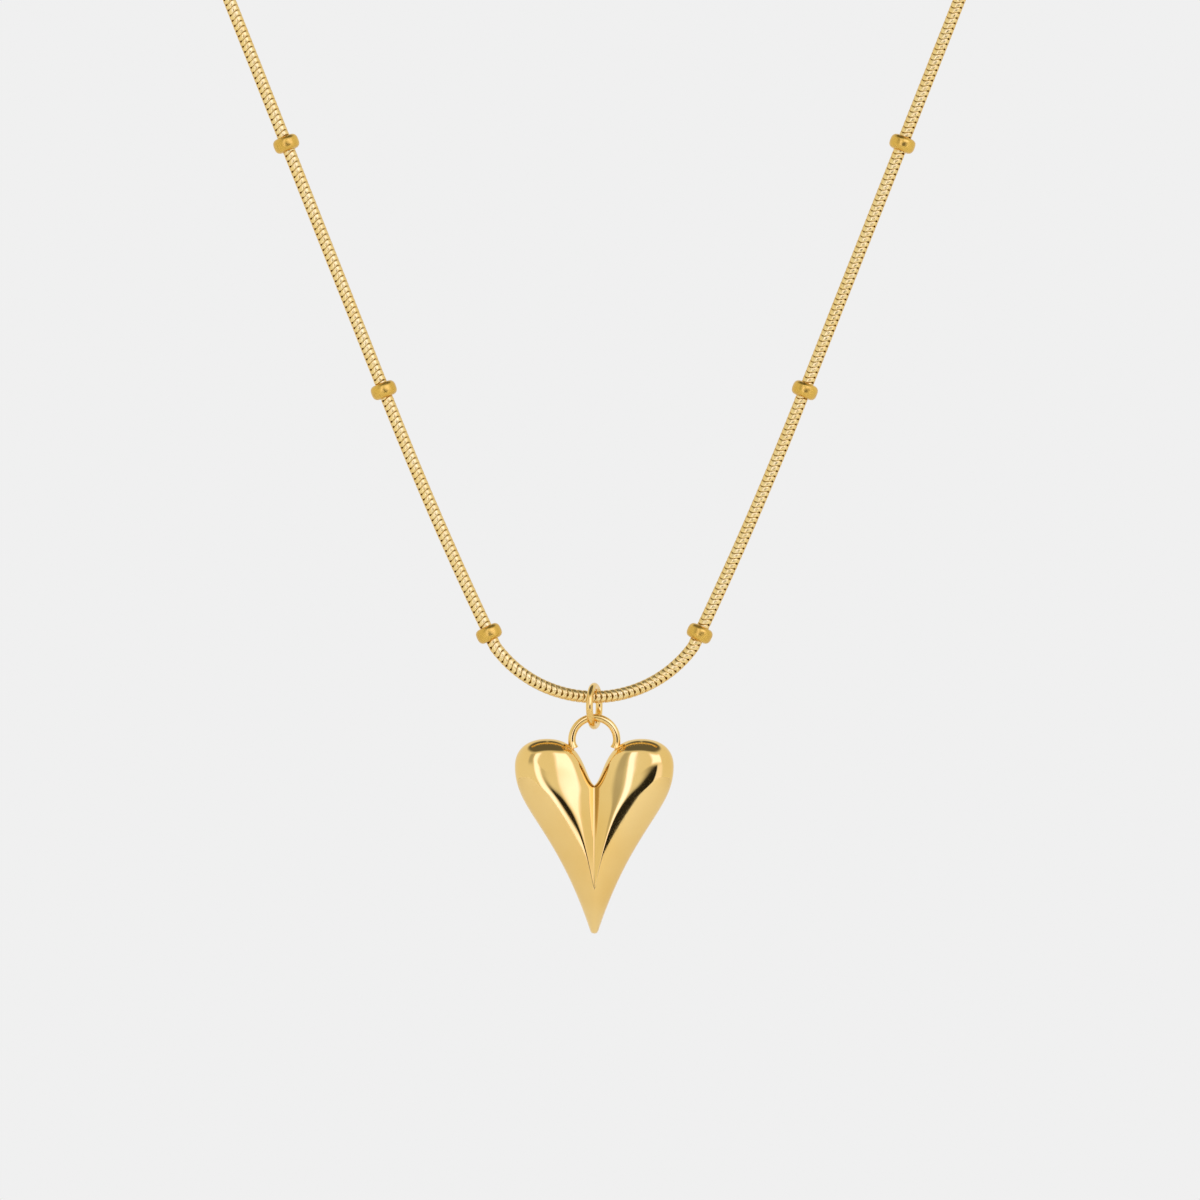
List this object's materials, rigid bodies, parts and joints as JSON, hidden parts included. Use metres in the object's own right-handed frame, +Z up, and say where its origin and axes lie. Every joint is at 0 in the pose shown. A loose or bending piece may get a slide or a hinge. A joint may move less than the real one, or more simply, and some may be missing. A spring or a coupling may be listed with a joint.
{
  "type": "pendant necklace",
  "caption": "Gold snake-chain necklace with crimped beads and a clasp, holding a hollow puffed heart with a V valley on a jump ring.",
  "frame": {"origin": "middle of the neck opening, on the middle plane of the chain", "axes": "+Z up as worn, along the necklace's longest extent; +X to the right seen from the front; -Y towards the viewer, and the neck passes along Y"},
  "size_m": [0.1106, 0.0046, 0.2047],
  "materials": {
    "polished_gold": "polished, gold plated",
    "chain_gold": "polished snake links, gold plated",
    "steel": "drawn spring wire"
  },
  "bodies": {
    "neck_chain": {"chain_l4": "chain_gold", "chain_l5": "chain_gold", "chain_l6": "chain_gold", "chain_l7": "chain_gold", "chain_l8": "chain_gold", "chain_r4": "chain_gold", "chain_r5": "chain_gold", "chain_r6": "chain_gold", "chain_r7": "chain_gold", "chain_r8": "chain_gold", "bead_l4": "polished_gold", "bead_l5": "polished_gold", "bead_l6": "polished_gold", "bead_l7": "polished_gold", "bead_l8": "polished_gold", "bead_r4": "polished_gold", "bead_r5": "polished_gold", "bead_r6": "polished_gold", "bead_r7": "polished_gold", "bead_r8": "polished_gold", "end_cap_l": "polished_gold", "end_cap_r": "polished_gold", "link_ring": "polished_gold", "closing_ring": "polished_gold"},
    "side_l3": {"chain_l3": "chain_gold", "bead_l3": "polished_gold"},
    "side_r3": {"chain_r3": "chain_gold", "bead_r3": "polished_gold"},
    "side_l2": {"chain_l2": "chain_gold", "bead_l2": "polished_gold"},
    "side_r2": {"chain_r2": "chain_gold", "bead_r2": "polished_gold"},
    "side_l1": {"chain_l1": "chain_gold", "bead_l1": "polished_gold"},
    "side_r1": {"chain_r1": "chain_gold", "bead_r1": "polished_gold"},
    "centre_chain": {"chain_centre": "chain_gold"},
    "pendant_ring": {"pendant_ring": "polished_gold"},
    "heart": {"heart_loop": "polished_gold", "heart_front": "polished_gold", "heart_back": "polished_gold"},
    "clasp": {"clasp_body": "polished_gold", "lever_rivet": "polished_gold", "lever_spring": "steel"},
    "lever": {"clasp_lever": "polished_gold"}
  },
  "joints": [
    {"name": "fold_4_l", "type": "hinge", "parent": "neck_chain", "child": "side_l3", "pos_m": [-0.04003, 0, -0.04625], "axis": [1, 0, 0], "range_deg": [-40, 40]},
    {"name": "fold_4_r", "type": "hinge", "parent": "neck_chain", "child": "side_r3", "pos_m": [0.04003, 0, -0.04625], "axis": [1, 0, 0], "range_deg": [-40, 40]},
    {"name": "fold_3_l", "type": "hinge", "parent": "side_l3", "child": "side_l2", "pos_m": [-0.03027, 0, -0.07089], "axis": [1, 0, 0], "range_deg": [-40, 40]},
    {"name": "fold_3_r", "type": "hinge", "parent": "side_r3", "child": "side_r2", "pos_m": [0.03027, 0, -0.07089], "axis": [1, 0, 0], "range_deg": [-40, 40]},
    {"name": "fold_2_l", "type": "hinge", "parent": "side_l2", "child": "side_l1", "pos_m": [-0.02052, 0, -0.09553], "axis": [1, 0, 0], "range_deg": [-40, 40]},
    {"name": "fold_2_r", "type": "hinge", "parent": "side_r2", "child": "side_r1", "pos_m": [0.02052, 0, -0.09553], "axis": [1, 0, 0], "range_deg": [-40, 40]},
    {"name": "fold_1_l", "type": "hinge", "parent": "side_l1", "child": "centre_chain", "pos_m": [-0.00991, 0, -0.11981], "axis": [1, 0, 0], "range_deg": [-40, 40]},
    {"name": "ring_swing", "type": "hinge", "parent": "centre_chain", "child": "pendant_ring", "pos_m": [0, 0, -0.12487], "axis": [1, 0, 0], "range_deg": [-80, 80]},
    {"name": "heart_swing", "type": "hinge", "parent": "pendant_ring", "child": "heart", "pos_m": [0, 0, -0.12916], "axis": [0, 1, 0], "range_deg": [-35, 35]},
    {"name": "clasp_turn", "type": "hinge", "parent": "neck_chain", "child": "clasp", "pos_m": [0, 0, 0.05385], "axis": [1, 0, 0], "range_deg": [-15, 15]},
    {"name": "lever_open", "type": "hinge", "parent": "clasp", "child": "lever", "pos_m": [0.00092, 0, 0.05323], "axis": [0, -1, 0], "range_deg": [0, 26], "stiffness_Nm_per_rad": 0.0002, "springref_deg": -8.59}
  ],
  "couplings": [
    {"joint": "fold_4_r", "follows": "fold_4_l", "ratio": 1},
    {"joint": "fold_3_r", "follows": "fold_3_l", "ratio": 1},
    {"joint": "fold_2_r", "follows": "fold_2_l", "ratio": 1}
  ]
}
